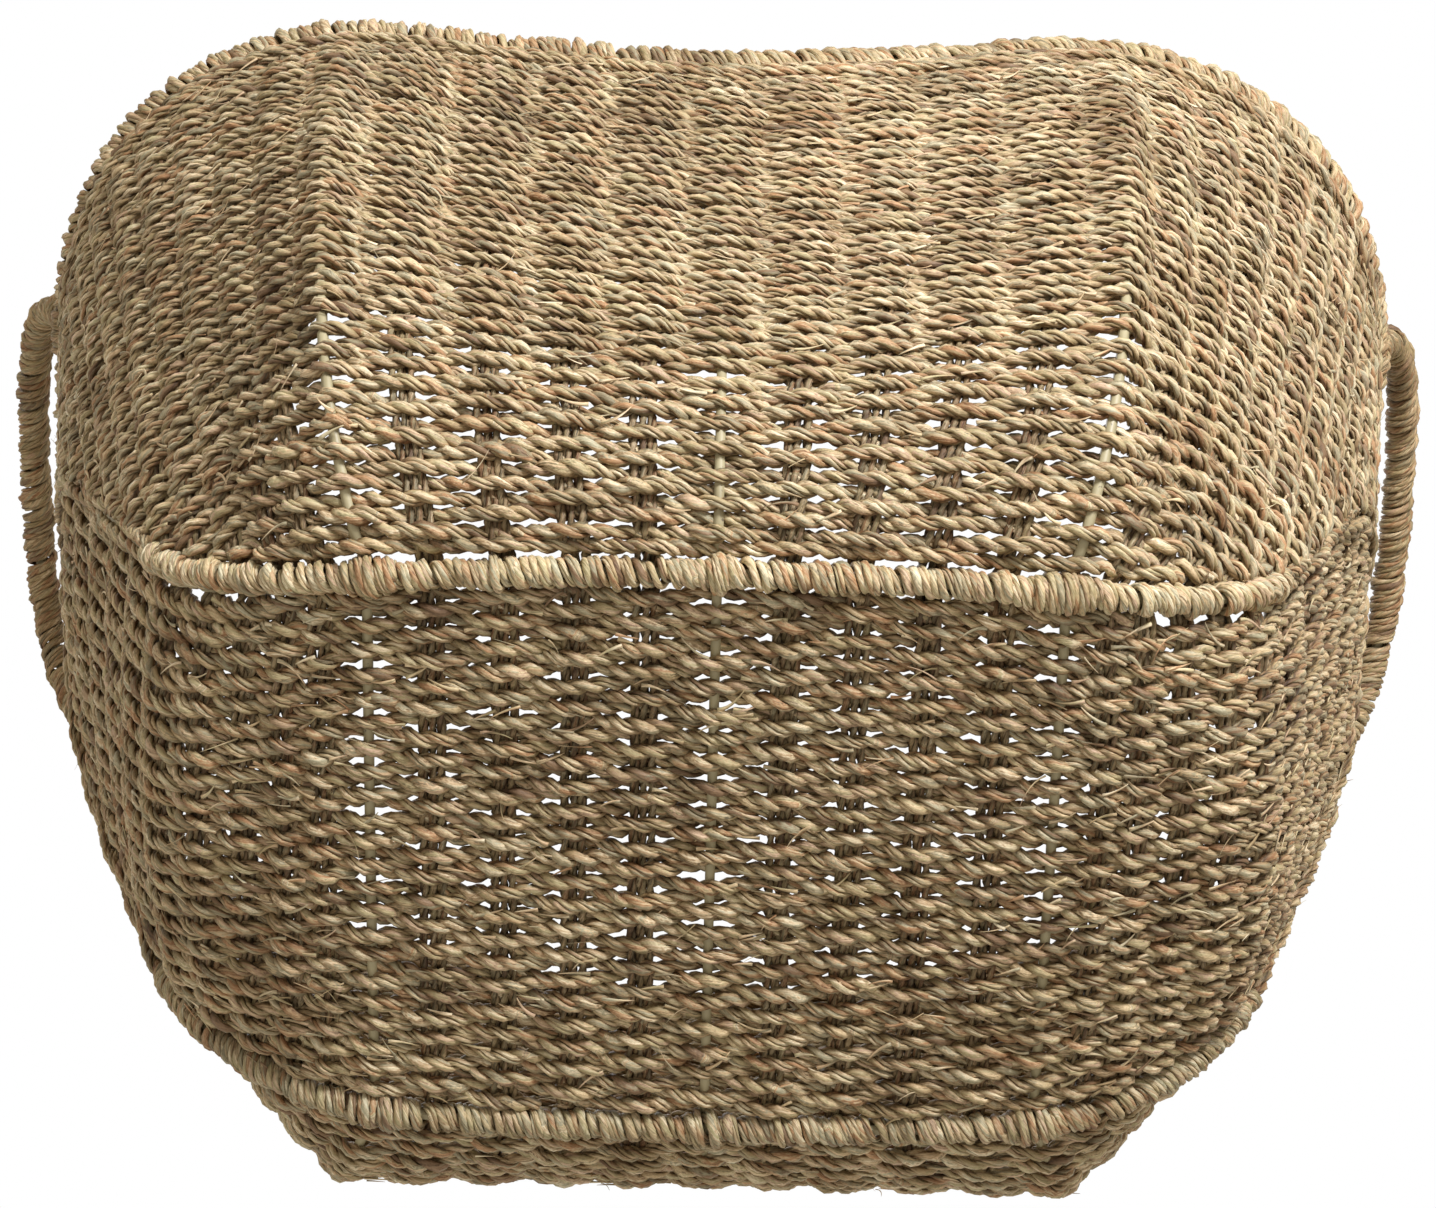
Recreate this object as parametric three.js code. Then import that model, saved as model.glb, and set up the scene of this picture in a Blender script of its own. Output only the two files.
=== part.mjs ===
// Seagrass basket on a steel wire frame, with a boat-shaped base and two loop handles.
// Millimetres, +Z up, origin at the bottom centre. X runs along the basket from handle to handle.
import * as THREE from 'three';

// Driving dimensions
const WIRE_RADIUS = 2.2; // hoops and ribs
const HANDLE_WIRE_RADIUS = 2.5;
const CORD_RADIUS = 5.5; // seagrass binding around the hoops
const GRIP_RADIUS = 6.5; // seagrass binding around the handle wires
const WALL = 9; // thickness of the woven skin
const CLEARANCE = 0.5; // between neighbouring pieces
const HANDLE_RISE = 66; // top of the handle wire above the end of the rim
const HANDLE_REACH = 32; // how far the handle leans out past the rim
const EARLY_FLARE = 0.4; // share of the flare that comes right above the base, at the middle
const CORNER_FLARE = 0.42; // the same share where the long walls meet the corners
const FLARE_HEIGHT = 0.077; // height of that first flare, as a share of the wall
const FLARE_FADE = 2.2; // stations past a side rib over which it dies away
const CREASE = 0.64; // how far a side rib pushes the wall out, four times the share half way up
const CREASE_WIDTH = 0.8; // stations over which that push dies away

// One quarter of each hoop, from the middle of a long side (station 0) to the end (station 7).
// Heights are above the centre of the base hoop where it lies flat.
const BASE_HOOP = [
  [0, 121, 0], [66, 120, 0], [131, 116, 1], [170, 109, 12],
  [210, 98, 46], [245, 83, 127], [276, 59, 212], [286, 0, 262],
];
const RIM_HOOP = [
  [0, 231, 281], [82, 230, 296], [165, 228, 320], [225, 209, 323],
  [265, 175, 321], [286, 131, 319], [291, 93, 318], [293, 0, 316],
];
// Middle line of the base from its centre out to the end, as [x, height].
const KEEL = [
  [0, 0], [66, 0], [131, 0], [172, 4], [217, 26], [250, 124], [278, 212], [286, 262],
];
const QUARTER = BASE_HOOP.length - 1;
const STATIONS = 4 * QUARTER; // once around, from the back middle over the right end
const RIB_STATION = 2;
const BACK_FOOT = 5.65; // station of each handle's back foot
const FRONT_FOOT = 6; // and of its front foot, from the middle of the front
const TIP_STATION = 6.58; // where the base ends, just short of the hoop
const RIB_GAP = WIRE_RADIUS + 5 * CLEARANCE; // from a rib's middle line to the weave beside it
const HOOP_GAP = CORD_RADIUS + 1.1; // from a hoop's middle line to the weave beside it
const HANDLE_START = CORD_RADIUS + 0.9; // from the rim's middle line up to the handle's ends
const SEAM_GAP = CLEARANCE / 2;
const BINDING_GAP = 2 * CLEARANCE; // cut off each end of a rim binding
const HOOP_STEP = 0.5; // stations between the places that wires and bindings step along
const HANDLE_STEPS = 20;
const NEAR_EDGE = 0.99; // where on a surface the distance to its edge is measured

const painted = [0x9a8d6c, 0.45, 0.3];
const cord = [0x97846a, 0.85, 0];
const grip = [0x7d6c50, 0.85, 0];
const weave = [0x8f7e62, 0.9, 0];

const basket = new THREE.Group();
basket.name = 'basket';

function add(name, geometry, [color, roughness, metalness]) {
  const material = new THREE.MeshStandardMaterial({ color, roughness, metalness });
  const mesh = new THREE.Mesh(geometry, material);
  mesh.name = name;
  basket.add(mesh);
}

// A whole hoop from its quarter, mirrored about both upright middle planes.
function hoopCurve(quarter) {
  const points = [];
  for (let i = 0; i < STATIONS; i += 1) {
    const side = Math.floor(i / QUARTER);
    const step = i % QUARTER;
    const [x, y, z] = quarter[side % 2 === 0 ? step : QUARTER - step];
    const alongX = side < 2 ? 1 : -1;
    const alongY = side === 0 || side === 3 ? 1 : -1;
    points.push(new THREE.Vector3(alongX * x, alongY * y, z + CORD_RADIUS));
  }
  return new THREE.CatmullRomCurve3(points, true, 'catmullrom');
}

const baseCurve = hoopCurve(BASE_HOOP);
const rimCurve = hoopCurve(RIM_HOOP);

function wrapped(station) {
  return ((station % STATIONS) + STATIONS) % STATIONS / STATIONS;
}

function onBase(station) {
  return baseCurve.getPoint(wrapped(station));
}

function onRim(station) {
  return rimCurve.getPoint(wrapped(station));
}

// Stations from the nearer long middle, 0 to 7.
function fromMiddle(station) {
  const turn = ((station % (2 * QUARTER)) + 2 * QUARTER) % (2 * QUARTER);
  return Math.min(turn, 2 * QUARTER - turn);
}

// A point of the wall's middle surface. Rise is 0 at the base hoop and 1 at the rim.
function wallPoint(station, rise) {
  const low = onBase(station);
  const high = onRim(station);
  const away = fromMiddle(station);
  const fade = THREE.MathUtils.clamp((away - RIB_STATION) / FLARE_FADE, 0, 1);
  const early = THREE.MathUtils.lerp(
    EARLY_FLARE, CORNER_FLARE, THREE.MathUtils.smoothstep(away, 0, RIB_STATION),
  ) * (1 - fade) ** 2;
  const nearness = Math.exp(-Math.abs(away - RIB_STATION) / CREASE_WIDTH);
  const crease = CREASE * nearness * rise * (1 - rise);
  const flare = early * (1 - Math.exp(-rise / FLARE_HEIGHT)) + (1 - early) * rise + crease;
  return new THREE.Vector3(
    low.x + (high.x - low.x) * flare,
    low.y + (high.y - low.y) * flare,
    low.z + (high.z - low.z) * rise,
  );
}

// A point of the base's middle surface. Across runs from -1 to 1 between the two long edges.
const keelCurve = new THREE.CatmullRomCurve3(
  KEEL.map(([x, z]) => new THREE.Vector3(x, 0, z)), false, 'catmullrom',
);

function basePoint(side, station, across) {
  const edge = onBase(station);
  const middle = keelCurve.getPoint(station / QUARTER);
  const curl = across * across;
  return new THREE.Vector3(
    side * THREE.MathUtils.lerp(middle.x, edge.x, curl),
    edge.y * across,
    THREE.MathUtils.lerp(middle.z, edge.z - CORD_RADIUS, curl) + WALL / 2,
  );
}

function slope(surface, u, v, alongU) {
  const step = 1e-3;
  const ahead = alongU ? surface(u + step, v) : surface(u, v + step);
  const behind = alongU ? surface(u - step, v) : surface(u, v - step);
  return ahead.sub(behind).divideScalar(2 * step);
}

// A closed plate of even thickness around a grid of points of a surface(u, v).
function plate(surface, pointAt, columns, rows) {
  const positions = [];
  const faces = [];
  const across = rows + 1;
  for (const face of [0.5, -0.5]) {
    for (let i = 0; i <= columns; i += 1) {
      for (let j = 0; j <= rows; j += 1) {
        const [u, v] = pointAt(i / columns, j / rows);
        const normal = slope(surface, u, v, true).cross(slope(surface, u, v, false)).normalize();
        positions.push(...surface(u, v).addScaledVector(normal, face * WALL).toArray());
      }
    }
  }
  const back = (columns + 1) * across;
  const quad = (a, b, c, d) => faces.push(a, b, c, a, c, d);
  for (let i = 0; i < columns; i += 1) {
    for (let j = 0; j < rows; j += 1) {
      const a = i * across + j;
      quad(a, a + across, a + across + 1, a + 1);
      quad(back + a, back + a + 1, back + a + across + 1, back + a + across);
    }
    const top = i * across + rows;
    quad(i * across, back + i * across, back + (i + 1) * across, (i + 1) * across);
    quad(top, top + across, back + top + across, back + top);
  }
  for (let j = 0; j < rows; j += 1) {
    const end = columns * across + j;
    quad(j, j + 1, back + j + 1, back + j);
    quad(end, back + end, back + end + 1, end + 1);
  }
  return solid(positions, faces);
}

function solid(positions, faces) {
  const geometry = new THREE.BufferGeometry();
  geometry.setAttribute('position', new THREE.Float32BufferAttribute(positions, 3));
  geometry.setIndex(faces);
  return geometry;
}

// How much of a parameter keeps a distance from an edge of a surface, square to that edge.
function inset(surface, u, v, distance, alongU) {
  const moving = slope(surface, u, v, alongU);
  const edge = slope(surface, u, v, !alongU);
  return distance * edge.length() / moving.clone().cross(edge).length();
}

// A wall panel between two stations, kept clear of both hoops and of what lies at its sides.
function wallPanel(from, to, gapFrom, gapTo, columns, rows) {
  const pointAt = (a, b) => {
    const level = THREE.MathUtils.lerp(0.05, 0.95, b);
    const start = from + inset(wallPoint, from, level, gapFrom, true);
    const stop = to - inset(wallPoint, to, level, gapTo, true);
    const station = THREE.MathUtils.lerp(start, stop, a);
    const low = inset(wallPoint, station, 1 - NEAR_EDGE, HOOP_GAP, false);
    const high = 1 - inset(wallPoint, station, NEAR_EDGE, HOOP_GAP, false);
    return [station, THREE.MathUtils.lerp(low, high, b)];
  };
  return plate(wallPoint, pointAt, columns, rows);
}

// The base beyond the outer rib: it runs flat, folds up and narrows to a tip below the rim.
function baseEnd(side) {
  const surface = (station, across) => basePoint(side, station, across);
  const pointAt = (a, b) => {
    const start = RIB_STATION + inset(surface, RIB_STATION, 0, RIB_GAP, true);
    const station = THREE.MathUtils.lerp(start, TIP_STATION, a);
    const edge = 1 - inset(surface, station, NEAR_EDGE, HOOP_GAP, false);
    return [station, edge * (2 * b - 1)];
  };
  return plate(surface, pointAt, 12, 8);
}

// The flat half of the base between the middle rib and an outer one.
function baseMat(side) {
  const outline = [];
  const steps = 4;
  const near = RIB_GAP;
  const far = onBase(RIB_STATION).x - near;
  const edgeAt = (x) => {
    const place = RIB_STATION * (x / onBase(RIB_STATION).x);
    return onBase(place).y - CORD_RADIUS - 2 * CLEARANCE;
  };
  for (let i = 0; i <= steps; i += 1) {
    const x = THREE.MathUtils.lerp(near, far, i / steps);
    outline.push(new THREE.Vector2(side * x, edgeAt(x)));
  }
  for (let i = steps; i >= 0; i -= 1) {
    outline.push(new THREE.Vector2(outline[i].x, -outline[i].y));
  }
  return new THREE.ExtrudeGeometry(new THREE.Shape(outline), { depth: WALL, bevelEnabled: false });
}

// A curve through given places, which a wire and the binding around it step along together.
class Route extends THREE.Curve {
  constructor(places) {
    super();
    this.places = places;
  }

  getPoint(t, target = new THREE.Vector3()) {
    const last = this.places.length - 1;
    const at = Math.min(Math.floor(t * last + 1e-9), last - 1);
    return target.copy(this.places[at]).lerp(this.places[at + 1], t * last - at);
  }

  getPointAt(t, target) {
    return this.getPoint(t, target);
  }

  getTangentAt(t, target = new THREE.Vector3()) {
    const last = this.places.length - 1;
    const at = Math.round(t * last);
    const ahead = this.places[Math.min(at + 1, last)];
    return target.copy(ahead).sub(this.places[Math.max(at - 1, 0)]).normalize();
  }
}

function circle(radius, sides, CurveHolder = THREE.Shape) {
  const points = [];
  for (let i = 0; i < sides; i += 1) {
    const angle = (2 * Math.PI * i) / sides;
    points.push(new THREE.Vector2(radius * Math.cos(angle), radius * Math.sin(angle)));
  }
  return new CurveHolder(points);
}

function sweep(section, places) {
  const options = {
    steps: places.length - 1, curveSegments: 1, bevelEnabled: false, extrudePath: new Route(places),
  };
  return new THREE.ExtrudeGeometry(section, options);
}

function wire(places, radius) {
  return sweep(circle(radius, 6), places);
}

// A round binding with a bore for the wire, open at both ends.
function binding(places, radius, wireRadius) {
  const section = circle(radius, 8);
  section.holes.push(circle(wireRadius + 2 * CLEARANCE, 6, THREE.Path));
  return sweep(section, places);
}

// A wire hoop without ends.
function hoop(places, radius) {
  const sides = 6;
  const count = places.length;
  const positions = [];
  const faces = [];
  places.forEach((place, i) => {
    const tangent = places[(i + 1) % count].clone().sub(places[(i + count - 1) % count]).normalize();
    const out = tangent.clone().cross(new THREE.Vector3(0, 0, 1)).normalize();
    const up = out.clone().cross(tangent);
    for (let j = 0; j < sides; j += 1) {
      const angle = (2 * Math.PI * j) / sides;
      const rim = out.clone().multiplyScalar(Math.cos(angle)).addScaledVector(up, Math.sin(angle));
      positions.push(...place.clone().addScaledVector(rim, radius).toArray());
      const a = i * sides + j;
      const b = i * sides + ((j + 1) % sides);
      const c = ((i + 1) % count) * sides + ((j + 1) % sides);
      const d = ((i + 1) % count) * sides + j;
      faces.push(a, c, b, a, d, c);
    }
  });
  return solid(positions, faces);
}

// Places along a hoop, at the same stations for its wire and its bindings.
function placesAlong(pointOn, from, to) {
  const count = Math.round((to - from) / HOOP_STEP);
  const places = [];
  for (let i = 0; i <= count; i += 1) {
    places.push(pointOn(from + i * HOOP_STEP));
  }
  return places;
}

// Draws both ends of a run of places in, so that the next piece has room.
function trim(places, distance) {
  const last = places.length - 1;
  places[0].lerp(places[1], distance / places[0].distanceTo(places[1]));
  places[last].lerp(places[last - 1], distance / places[last].distanceTo(places[last - 1]));
}

const RIB_SHARES = [0, 0.45, 0.85]; // places across half the base
const RIB_TURNS = [1.05, 0.65]; // angles round the base ring, in half turns from outward
const RIB_RISES = [0.09, 0.16, 0.25, 0.4, 0.55, 0.7, 0.85]; // places up the wall
const RIB_STEP_OVER = CORD_RADIUS + WIRE_RADIUS + 3 * CLEARANCE;
const RIB_TOP_GAP = CORD_RADIUS + 2 * CLEARANCE;

// A rib crosses under the base, steps over the base hoop's binding and climbs both long walls.
function ribPlaces(station, side) {
  const half = [];
  const foot = onBase(station);
  for (const share of RIB_SHARES) {
    half.push(new THREE.Vector3(foot.x, foot.y * share, WALL / 2));
  }
  for (const turn of RIB_TURNS) {
    const y = foot.y + RIB_STEP_OVER * Math.cos(Math.PI * turn);
    const z = foot.z + RIB_STEP_OVER * Math.sin(Math.PI * turn);
    half.push(new THREE.Vector3(foot.x, y, z));
  }
  for (const rise of RIB_RISES) {
    half.push(wallPoint(station, rise));
  }
  const top = 1 - inset(wallPoint, station, NEAR_EDGE, RIB_TOP_GAP, false);
  half.push(wallPoint(station, top));
  const other = half.slice(1).reverse().map((p) => new THREE.Vector3(p.x, -p.y, p.z));
  return [...other, ...half].map((p) => new THREE.Vector3(side * p.x, p.y, p.z));
}

const HANDLE_SHOULDER = 0.7; // the lower, the squarer the handle's top corners
const HANDLE_SKEW = 0.2; // how much nearer its back foot the handle is highest
const HANDLE_LEG = 0.8; // the lower, the straighter its legs

// A handle leaves the rim at two feet, rises and leans out.
function handlePlaces(side) {
  const back = onRim(BACK_FOOT);
  const front = onRim(FRONT_FOOT);
  const places = [];
  for (let i = 0; i <= HANDLE_STEPS; i += 1) {
    const turn = Math.PI * (i / HANDLE_STEPS);
    const lift = Math.sin(turn + HANDLE_SKEW * Math.sin(turn)) ** HANDLE_SHOULDER;
    const ahead = Math.cos(turn);
    const foot = front.clone().lerp(back, (1 + ahead) / 2);
    const x = foot.x + HANDLE_REACH * lift;
    const reach = Math.abs(ahead) ** HANDLE_LEG;
    const y = ahead > 0 ? back.y * reach : -front.y * reach;
    const z = foot.z + HANDLE_START + (HANDLE_RISE - HANDLE_START) * lift;
    places.push(new THREE.Vector3(side * x, y, z));
  }
  return places;
}

const END = QUARTER;
const FRONT = 2 * QUARTER;
const LEFT_END = 3 * QUARTER;

add('rim_hoop', hoop(placesAlong(onRim, 0, STATIONS - HOOP_STEP), WIRE_RADIUS), painted);
add('base_hoop', hoop(placesAlong(onBase, 0, STATIONS - HOOP_STEP), WIRE_RADIUS), painted);
add('rib_middle', wire(ribPlaces(0, 1), WIRE_RADIUS), painted);
add('rib_right', wire(ribPlaces(RIB_STATION, 1), WIRE_RADIUS), painted);
add('rib_left', wire(ribPlaces(RIB_STATION, -1), WIRE_RADIUS), painted);

const RIM_CUTS = [
  ['rim_binding_back', -4, 4],
  ['rim_binding_right', 4, 2 * END - 4],
  ['rim_binding_front', FRONT - 4, FRONT + 4],
  ['rim_binding_left', FRONT + 4, LEFT_END + 3],
];
for (const [name, from, to] of RIM_CUTS) {
  const places = placesAlong(onRim, from, to);
  trim(places, BINDING_GAP);
  add(name, binding(places, CORD_RADIUS, WIRE_RADIUS), cord);
}
for (const [name, middle] of [['base_binding_back', 0], ['base_binding_front', FRONT]]) {
  add(name, binding(placesAlong(onBase, middle - 4, middle + 4), CORD_RADIUS, WIRE_RADIUS), cord);
}

for (const [name, side] of [['right', 1], ['left', -1]]) {
  const places = handlePlaces(side);
  add(`handle_wire_${name}`, wire(places, HANDLE_WIRE_RADIUS), painted);
  add(`handle_binding_${name}`, binding(places, GRIP_RADIUS, HANDLE_WIRE_RADIUS), grip);
  add(`base_mat_${name}`, baseMat(side), weave);
  add(`base_end_${name}`, baseEnd(side), weave);
}

const RIB = RIB_STATION;
const FOOT = FRONT_FOOT;
const PANELS = [
  ['wall_back_right', 0, RIB, RIB_GAP, RIB_GAP, 3],
  ['corner_back_right', RIB, FOOT, RIB_GAP, SEAM_GAP, 8],
  ['end_right', FOOT, FRONT - FOOT, SEAM_GAP, SEAM_GAP, 8],
  ['corner_front_right', FRONT - FOOT, FRONT - RIB, SEAM_GAP, RIB_GAP, 8],
  ['wall_front_right', FRONT - RIB, FRONT, RIB_GAP, RIB_GAP, 3],
  ['wall_front_left', FRONT, FRONT + RIB, RIB_GAP, RIB_GAP, 3],
  ['corner_front_left', FRONT + RIB, FRONT + FOOT, RIB_GAP, SEAM_GAP, 8],
  ['end_left', FRONT + FOOT, STATIONS - FOOT, SEAM_GAP, SEAM_GAP, 8],
  ['corner_back_left', STATIONS - FOOT, STATIONS - RIB, SEAM_GAP, RIB_GAP, 8],
  ['wall_back_left', STATIONS - RIB, STATIONS, RIB_GAP, RIB_GAP, 3],
];
for (const [name, from, to, gapFrom, gapTo, columns] of PANELS) {
  add(name, wallPanel(from, to, gapFrom, gapTo, columns, 8), weave);
}

export default basket;
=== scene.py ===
"""Looks of the seagrass basket: twisted ropes woven over bundled stakes and painted steel ribs,
with strand bindings round the rim, the base ring and the two handles.
Lengths are in millimetres until a mesh is made, and in metres in Blender."""
import math

import bpy
import numpy as np
from mathutils import Matrix, Vector


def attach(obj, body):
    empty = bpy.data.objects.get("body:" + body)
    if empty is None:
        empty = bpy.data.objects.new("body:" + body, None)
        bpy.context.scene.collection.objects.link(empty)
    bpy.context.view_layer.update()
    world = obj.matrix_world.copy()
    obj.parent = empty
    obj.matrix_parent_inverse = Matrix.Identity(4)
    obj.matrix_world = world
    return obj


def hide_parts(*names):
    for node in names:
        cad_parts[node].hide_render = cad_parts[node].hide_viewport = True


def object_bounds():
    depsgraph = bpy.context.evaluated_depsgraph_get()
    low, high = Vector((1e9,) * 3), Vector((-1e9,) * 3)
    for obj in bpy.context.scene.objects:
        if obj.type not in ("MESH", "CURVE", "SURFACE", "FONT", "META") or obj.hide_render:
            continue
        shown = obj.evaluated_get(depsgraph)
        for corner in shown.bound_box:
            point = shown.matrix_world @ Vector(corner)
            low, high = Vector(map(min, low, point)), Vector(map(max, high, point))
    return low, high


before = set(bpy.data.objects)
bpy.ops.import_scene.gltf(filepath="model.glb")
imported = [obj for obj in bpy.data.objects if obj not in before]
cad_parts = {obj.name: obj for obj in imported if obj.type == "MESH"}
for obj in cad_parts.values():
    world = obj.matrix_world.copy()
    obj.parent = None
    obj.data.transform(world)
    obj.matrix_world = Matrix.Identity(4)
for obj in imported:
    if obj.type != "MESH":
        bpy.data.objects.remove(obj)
cad_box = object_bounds()
rng = np.random.default_rng(7)

MM = 0.001

# Driving dimensions, as in the CAD part
WIRE_RADIUS = 2.2
CORD_RADIUS = 5.5  # over the bindings of the rim and the base ring
GRIP_RADIUS = 6.5  # over a handle's binding
WALL = 9.0  # thickness of the weave
EARLY_FLARE = 0.4  # share of the way out to the rim that the wall gains just above the base
CORNER_FLARE = 0.42  # the same at the side ribs
FLARE_HEIGHT = 0.077  # share of the way up in which most of that is gained
FLARE_FADE = 2.2  # stations beyond a side rib over which it dies away
CREASE = 0.64  # four times the share of the way out that the wall bulges along a side rib
CREASE_WIDTH = 0.8  # stations in which the bulge falls off
HANDLE_RISE = 66.0
HANDLE_REACH = 32.0
HANDLE_SHOULDER = 0.7  # powers that make the loop squarer than half a circle
HANDLE_LEG = 0.8
HANDLE_SKEW = 0.2  # moves the loop's top towards the back
# A point for each station of a quarter of each hoop and of the keel, mirrored for the rest
BASE_HOOP = np.array([
    [0, 121, 0], [66, 120, 0], [131, 116, 1], [170, 109, 12],
    [210, 98, 46], [245, 83, 127], [276, 59, 212], [286, 0, 262],
], float)
RIM_HOOP = np.array([
    [0, 231, 281], [82, 230, 296], [165, 228, 320], [225, 209, 323],
    [265, 175, 321], [286, 131, 319], [291, 93, 318], [293, 0, 316],
], float)
KEEL = np.array([
    [0, 0], [66, 0], [131, 0], [172, 4], [217, 26], [250, 124], [278, 212], [286, 262],
], float)
QUARTER = 7
HALF = 2 * QUARTER
STATIONS = 4 * QUARTER
RIB_STATION = 2
BACK_FOOT = 5.65
FRONT_FOOT = 6.0
BOUND_STATION = 4  # the base ring is bound this far from each long middle
FLAT_STATION = 3  # the base lies nearly flat this far from the middle, and folds up beyond

# Ropes, each of two plies of one or two leaves. A stray is a random wave: its length, along the
# path or in stations, and its size
SIDES = 6  # of a strand's cross-section
ROPE_RADIUS = 3.4
ROPE_LEAD = 17.0  # length of one full twist
ROPE_STEP = 2.3
FINE_RADIUS = 2.75  # the rope of the upper wall
FINE_LEAD = 16.0
STAKE_RADIUS = 2.2
STAKE_LEAD = 22.0
STAKE_STEP = 3.0
PLY_OFFSET = 0.42  # sizes of the plies and leaves, as shares of their rope's radius
PLY_THICK = 0.57
PLY_WIDE = 0.64
LEAF_OFFSET = 0.27
LEAF_THICK = 0.33
LEAF_WIDE = 0.56
LEAF_LEAD = 34.0  # the two leaves of a ply turn round each other once in this length
LEAF_PATCH = (30, 150)  # shortest and longest stretch of one tone along a leaf
FIBRE_LEAD = 26.0  # a leaf's own fibres turn once in this length
FIBRE_REACH = 5000  # each leaf takes its fibres from anywhere in this length
TWIST_STRAY = (60, 0.5)
SWELL_STRAY = (18, 0.07)
SPIN_STRAY = (20, 0.5)
LEAF_STRAY = (12, 0.09)

# Weaving
STAKE_PITCH = 0.4  # stations between stakes
STAKES = 17  # on each side of the middle one
DENSE_STEP = 0.02  # stations between the places that a row is worked out at
SHORTEST_RUN = 40  # such places in the shortest piece of rope
ROW_OVERLAP = 0.3  # stations that a row runs past its own start
WALL_BANDS = 21
BASE_BANDS = 9
BASE_PITCH = 5.3
LOW_PITCH = 5.3
HIGH_PITCH = 3.9
PITCH_CHANGE = (0.10, 0.45)  # shares of the way up between which the rows close up
ROPE_CHANGE = (0.1, 0.6)  # and between which the rope gets finer
PITCH_SPREAD = (0.93, 1.07)
FIRST_ROW = 9.6  # up the wall from the base ring's middle line
RIM_MARGIN = 9.0
BASE_MARGIN = 7.0
HOOP_GAP = 3.5  # from a row's end to the bare base hoop's middle line
WALL_RING_GAP = 5.2  # more where the hoop is bound, in the wall
BASE_RING_GAP = 4.5  # and in the base
OVER = 2.9  # how far a rope swings out of the wall's middle surface at a stake
CALM = (8, 40)  # distances below the rim between which the swing grows from half to full
WALL_ROW_STRAY = (0.55, 0.7)
BASE_ROW_STRAY = (0.55, 0.75)
WALL_SWING_STRAY = (STAKE_PITCH, 0.14)
BASE_SWING_STRAY = (STAKE_PITCH, 0.10)
BASE_LIFT = 3.0  # the base's weave lies this far inside its CAD middle surface
SURFACE_STEP = 1e-3  # small step in station, rise or across

# Stakes, and the straight ropes along the hoops
STAKE_SPREAD = 1.55  # between a stake's three cords, in cord radii
STAKE_SIDE_STRAY = (30, 0.3)
STAKE_OUT_STRAY = (25, 0.4)
CROSSING_STEP = 1.5
CORNER_CLEARANCE = 0.3  # between a crossing stake and the base ring
WALL_CORNER = 3.0  # room beyond that which the stake's corner takes in the wall
BASE_CORNER = 2.0  # and in the base
RIM_ROPE_RADIUS = 2.9
RIM_ROPES = ((6.6, 2.2), (11.0, 3.0), (6.6, -2.8))  # drop below the rim, and outward
RIM_ROPE_STRAY = (0.5, 0.3)
HOOP_ROPE_RADIUS = 3.0
HOOP_ROPES = ((2.2, 0), (-2.2, 1))  # sideways from the hoop, and parity
HOOP_ROPE_SWING = 1.6
HOOP_ROPE_STRAY = (0.3, 0.9)
TUCK = 0.2  # stations that they run in under the base ring's binding

# Bindings. width is the room that one turn takes, and half a strand's half thickness
RIM_RADIUS = 6.6  # over the strands, which stand proud of the CAD binding
RING_RADIUS = 5.8
RIM_WINDING = {"width": 3.5, "starts": 4, "half": 1.8, "slack": 0.8}
RING_WINDING = {"width": 2.8, "starts": 3, "slack": 0.8}
GRIP_WINDING = {"width": 3.0, "starts": 4}
KNOT_WINDING = {"width": 3.0, "starts": 2}
RING_OVERRUN = 0.3  # stations that the ring's binding runs past its last bound station
PER_TURN = 14  # points along one turn of a strand
STRAND_SWELL = 1.85  # size of a strand, in half thicknesses
STRAND_PATCH = (20.0, 120.0)  # shortest and longest stretch of one tone along it
RING_KNOTS = ((-RIB_STATION, 12.0), (0.0, 6.0), (RIB_STATION, 11.0))  # station, half length
RING_KNOT_SWELL = 2.6
FOOT_KNOT_SWELL = 3.5
BACK_KNOT = 24.0  # half lengths of the knots at a handle's feet
FRONT_KNOT = 15.0
GRIP_SWELL = 0.7  # a handle is this much thicker at its middle

# Loose leaf ends and fibres: how many on the wall, and the range of their length, lift, width
# and turn away from the row
LOOSE = (
    (1100, (7, 13), (-0.08, 0.06), (0.7, 1.1), 0.4),
    (170, (6, 15), (0.1, 0.5), (0.3, 0.45), 0.9),
)
LOOSE_HEIGHT = (3.2, 4.9)  # above the weave's middle surface

# Floor and light, in metres and watts
FLOOR_HALF = 8.0
FLOOR_FADE = (0.5, 2.4)  # distances between which the floor turns white
WORLD_LIGHT = 0.68
WORLD_COLOUR = (1.0, 0.96, 0.89, 1)
LAMP_COLOUR = (0.95, 0.98, 1.06)
LAMP_CENTRE = Vector((0, 0, 0.2))
LAMPS = (  # name, where it stands from the centre, distance, size, power
    ("key", (0.42, -0.9, -0.28), 1.7, 0.5, 38),  # wholly below the floor's level
    ("above", (-0.3, 0.2, 1.0), 1.8, 1.0, 9),
)

# The camera, fitted to the outline and the rows in the photograph
CAMERA_AZIMUTH = -0.492
CAMERA_ELEVATION = -65.255
CAMERA_ROLL = 0.884
CAMERA_DISTANCE = 1.6994
CAMERA_TARGET = Vector((0.0013, -0.0181, 0.2021))
CAMERA_LENS = 99.59


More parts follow.
